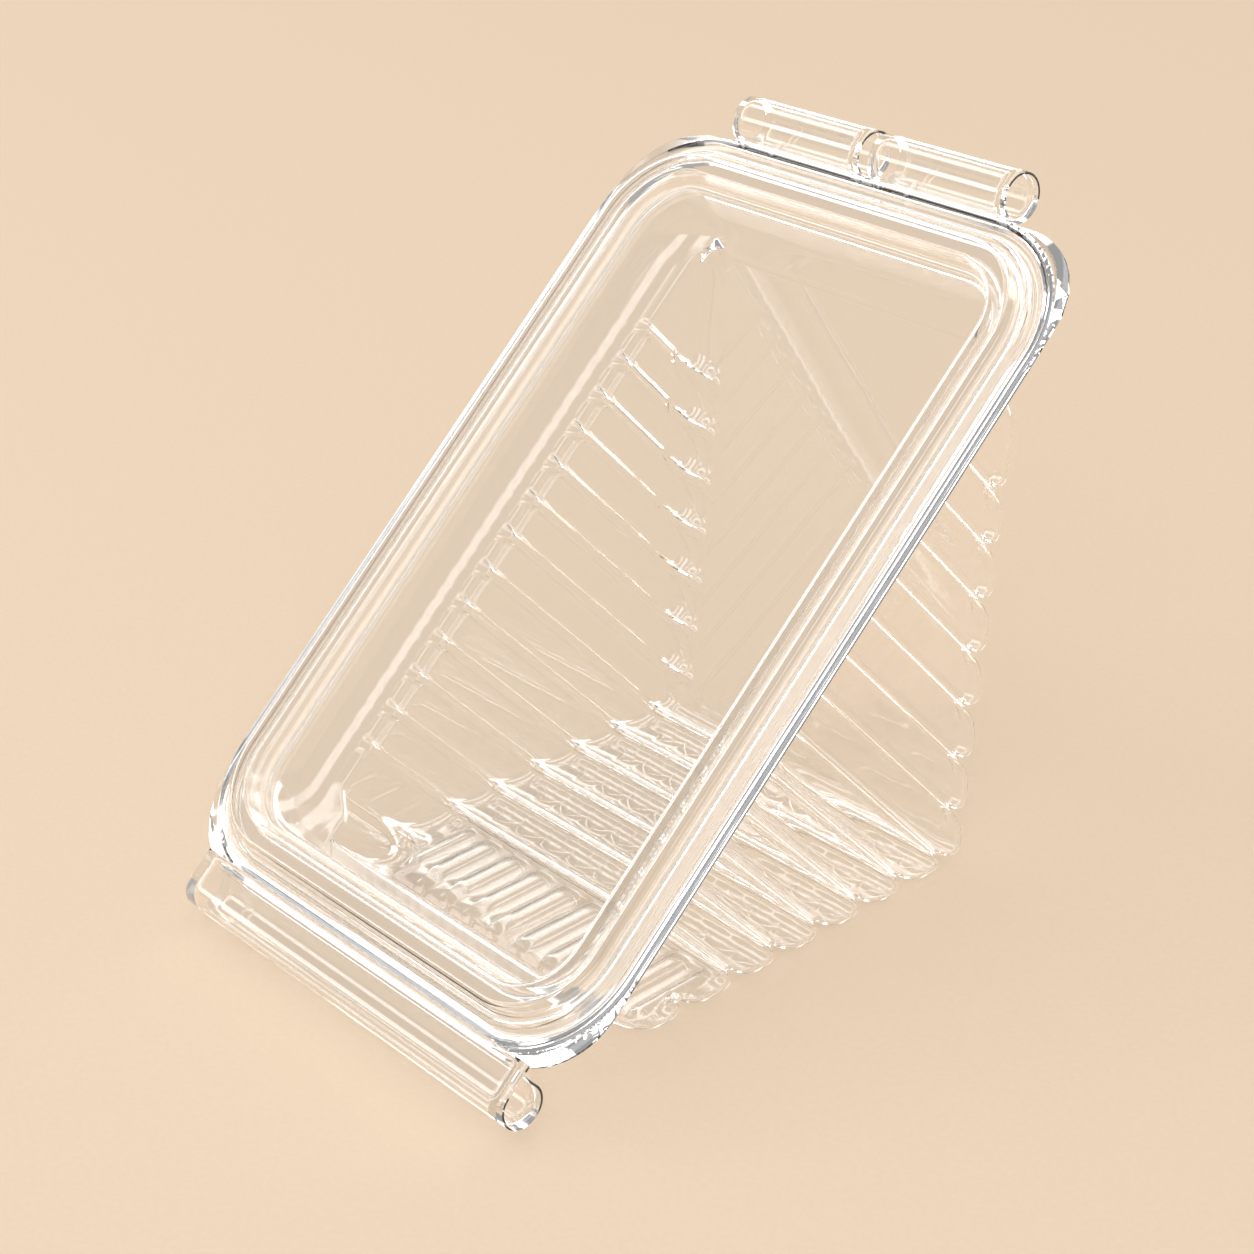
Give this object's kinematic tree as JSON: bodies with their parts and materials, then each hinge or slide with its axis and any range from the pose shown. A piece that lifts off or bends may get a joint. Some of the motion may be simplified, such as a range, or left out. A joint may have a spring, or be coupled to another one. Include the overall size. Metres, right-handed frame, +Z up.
{
  "type": "hinged plastic sandwich wedge pack",
  "caption": "Clear thermoformed wedge pack with a grooved tray, a lobed floor and a hinged lid with a flat window and a rolled closing lip.",
  "frame": {"origin": "centre of the bounding box on the surface the pack stands on", "axes": "+X across the pack, +Y from the closing lip at the front to the upright back panel, +Z up"},
  "size_m": [0.105, 0.1326, 0.1191],
  "materials": {
    "clear_film": "clear thermoformed film"
  },
  "bodies": {
    "tray": {"tray": "clear_film", "hinge_loop_left": "clear_film", "hinge_loop_right": "clear_film"},
    "lid": {"lid": "clear_film"}
  },
  "joints": [
    {"name": "lid_hinge", "type": "hinge", "parent": "tray", "child": "lid", "pos_m": [0, 0.06531, 0.11756], "axis": [-1, 0, 0], "range_deg": [0, 180], "deforming": ["hinge_loop_left", "hinge_loop_right"]}
  ]
}
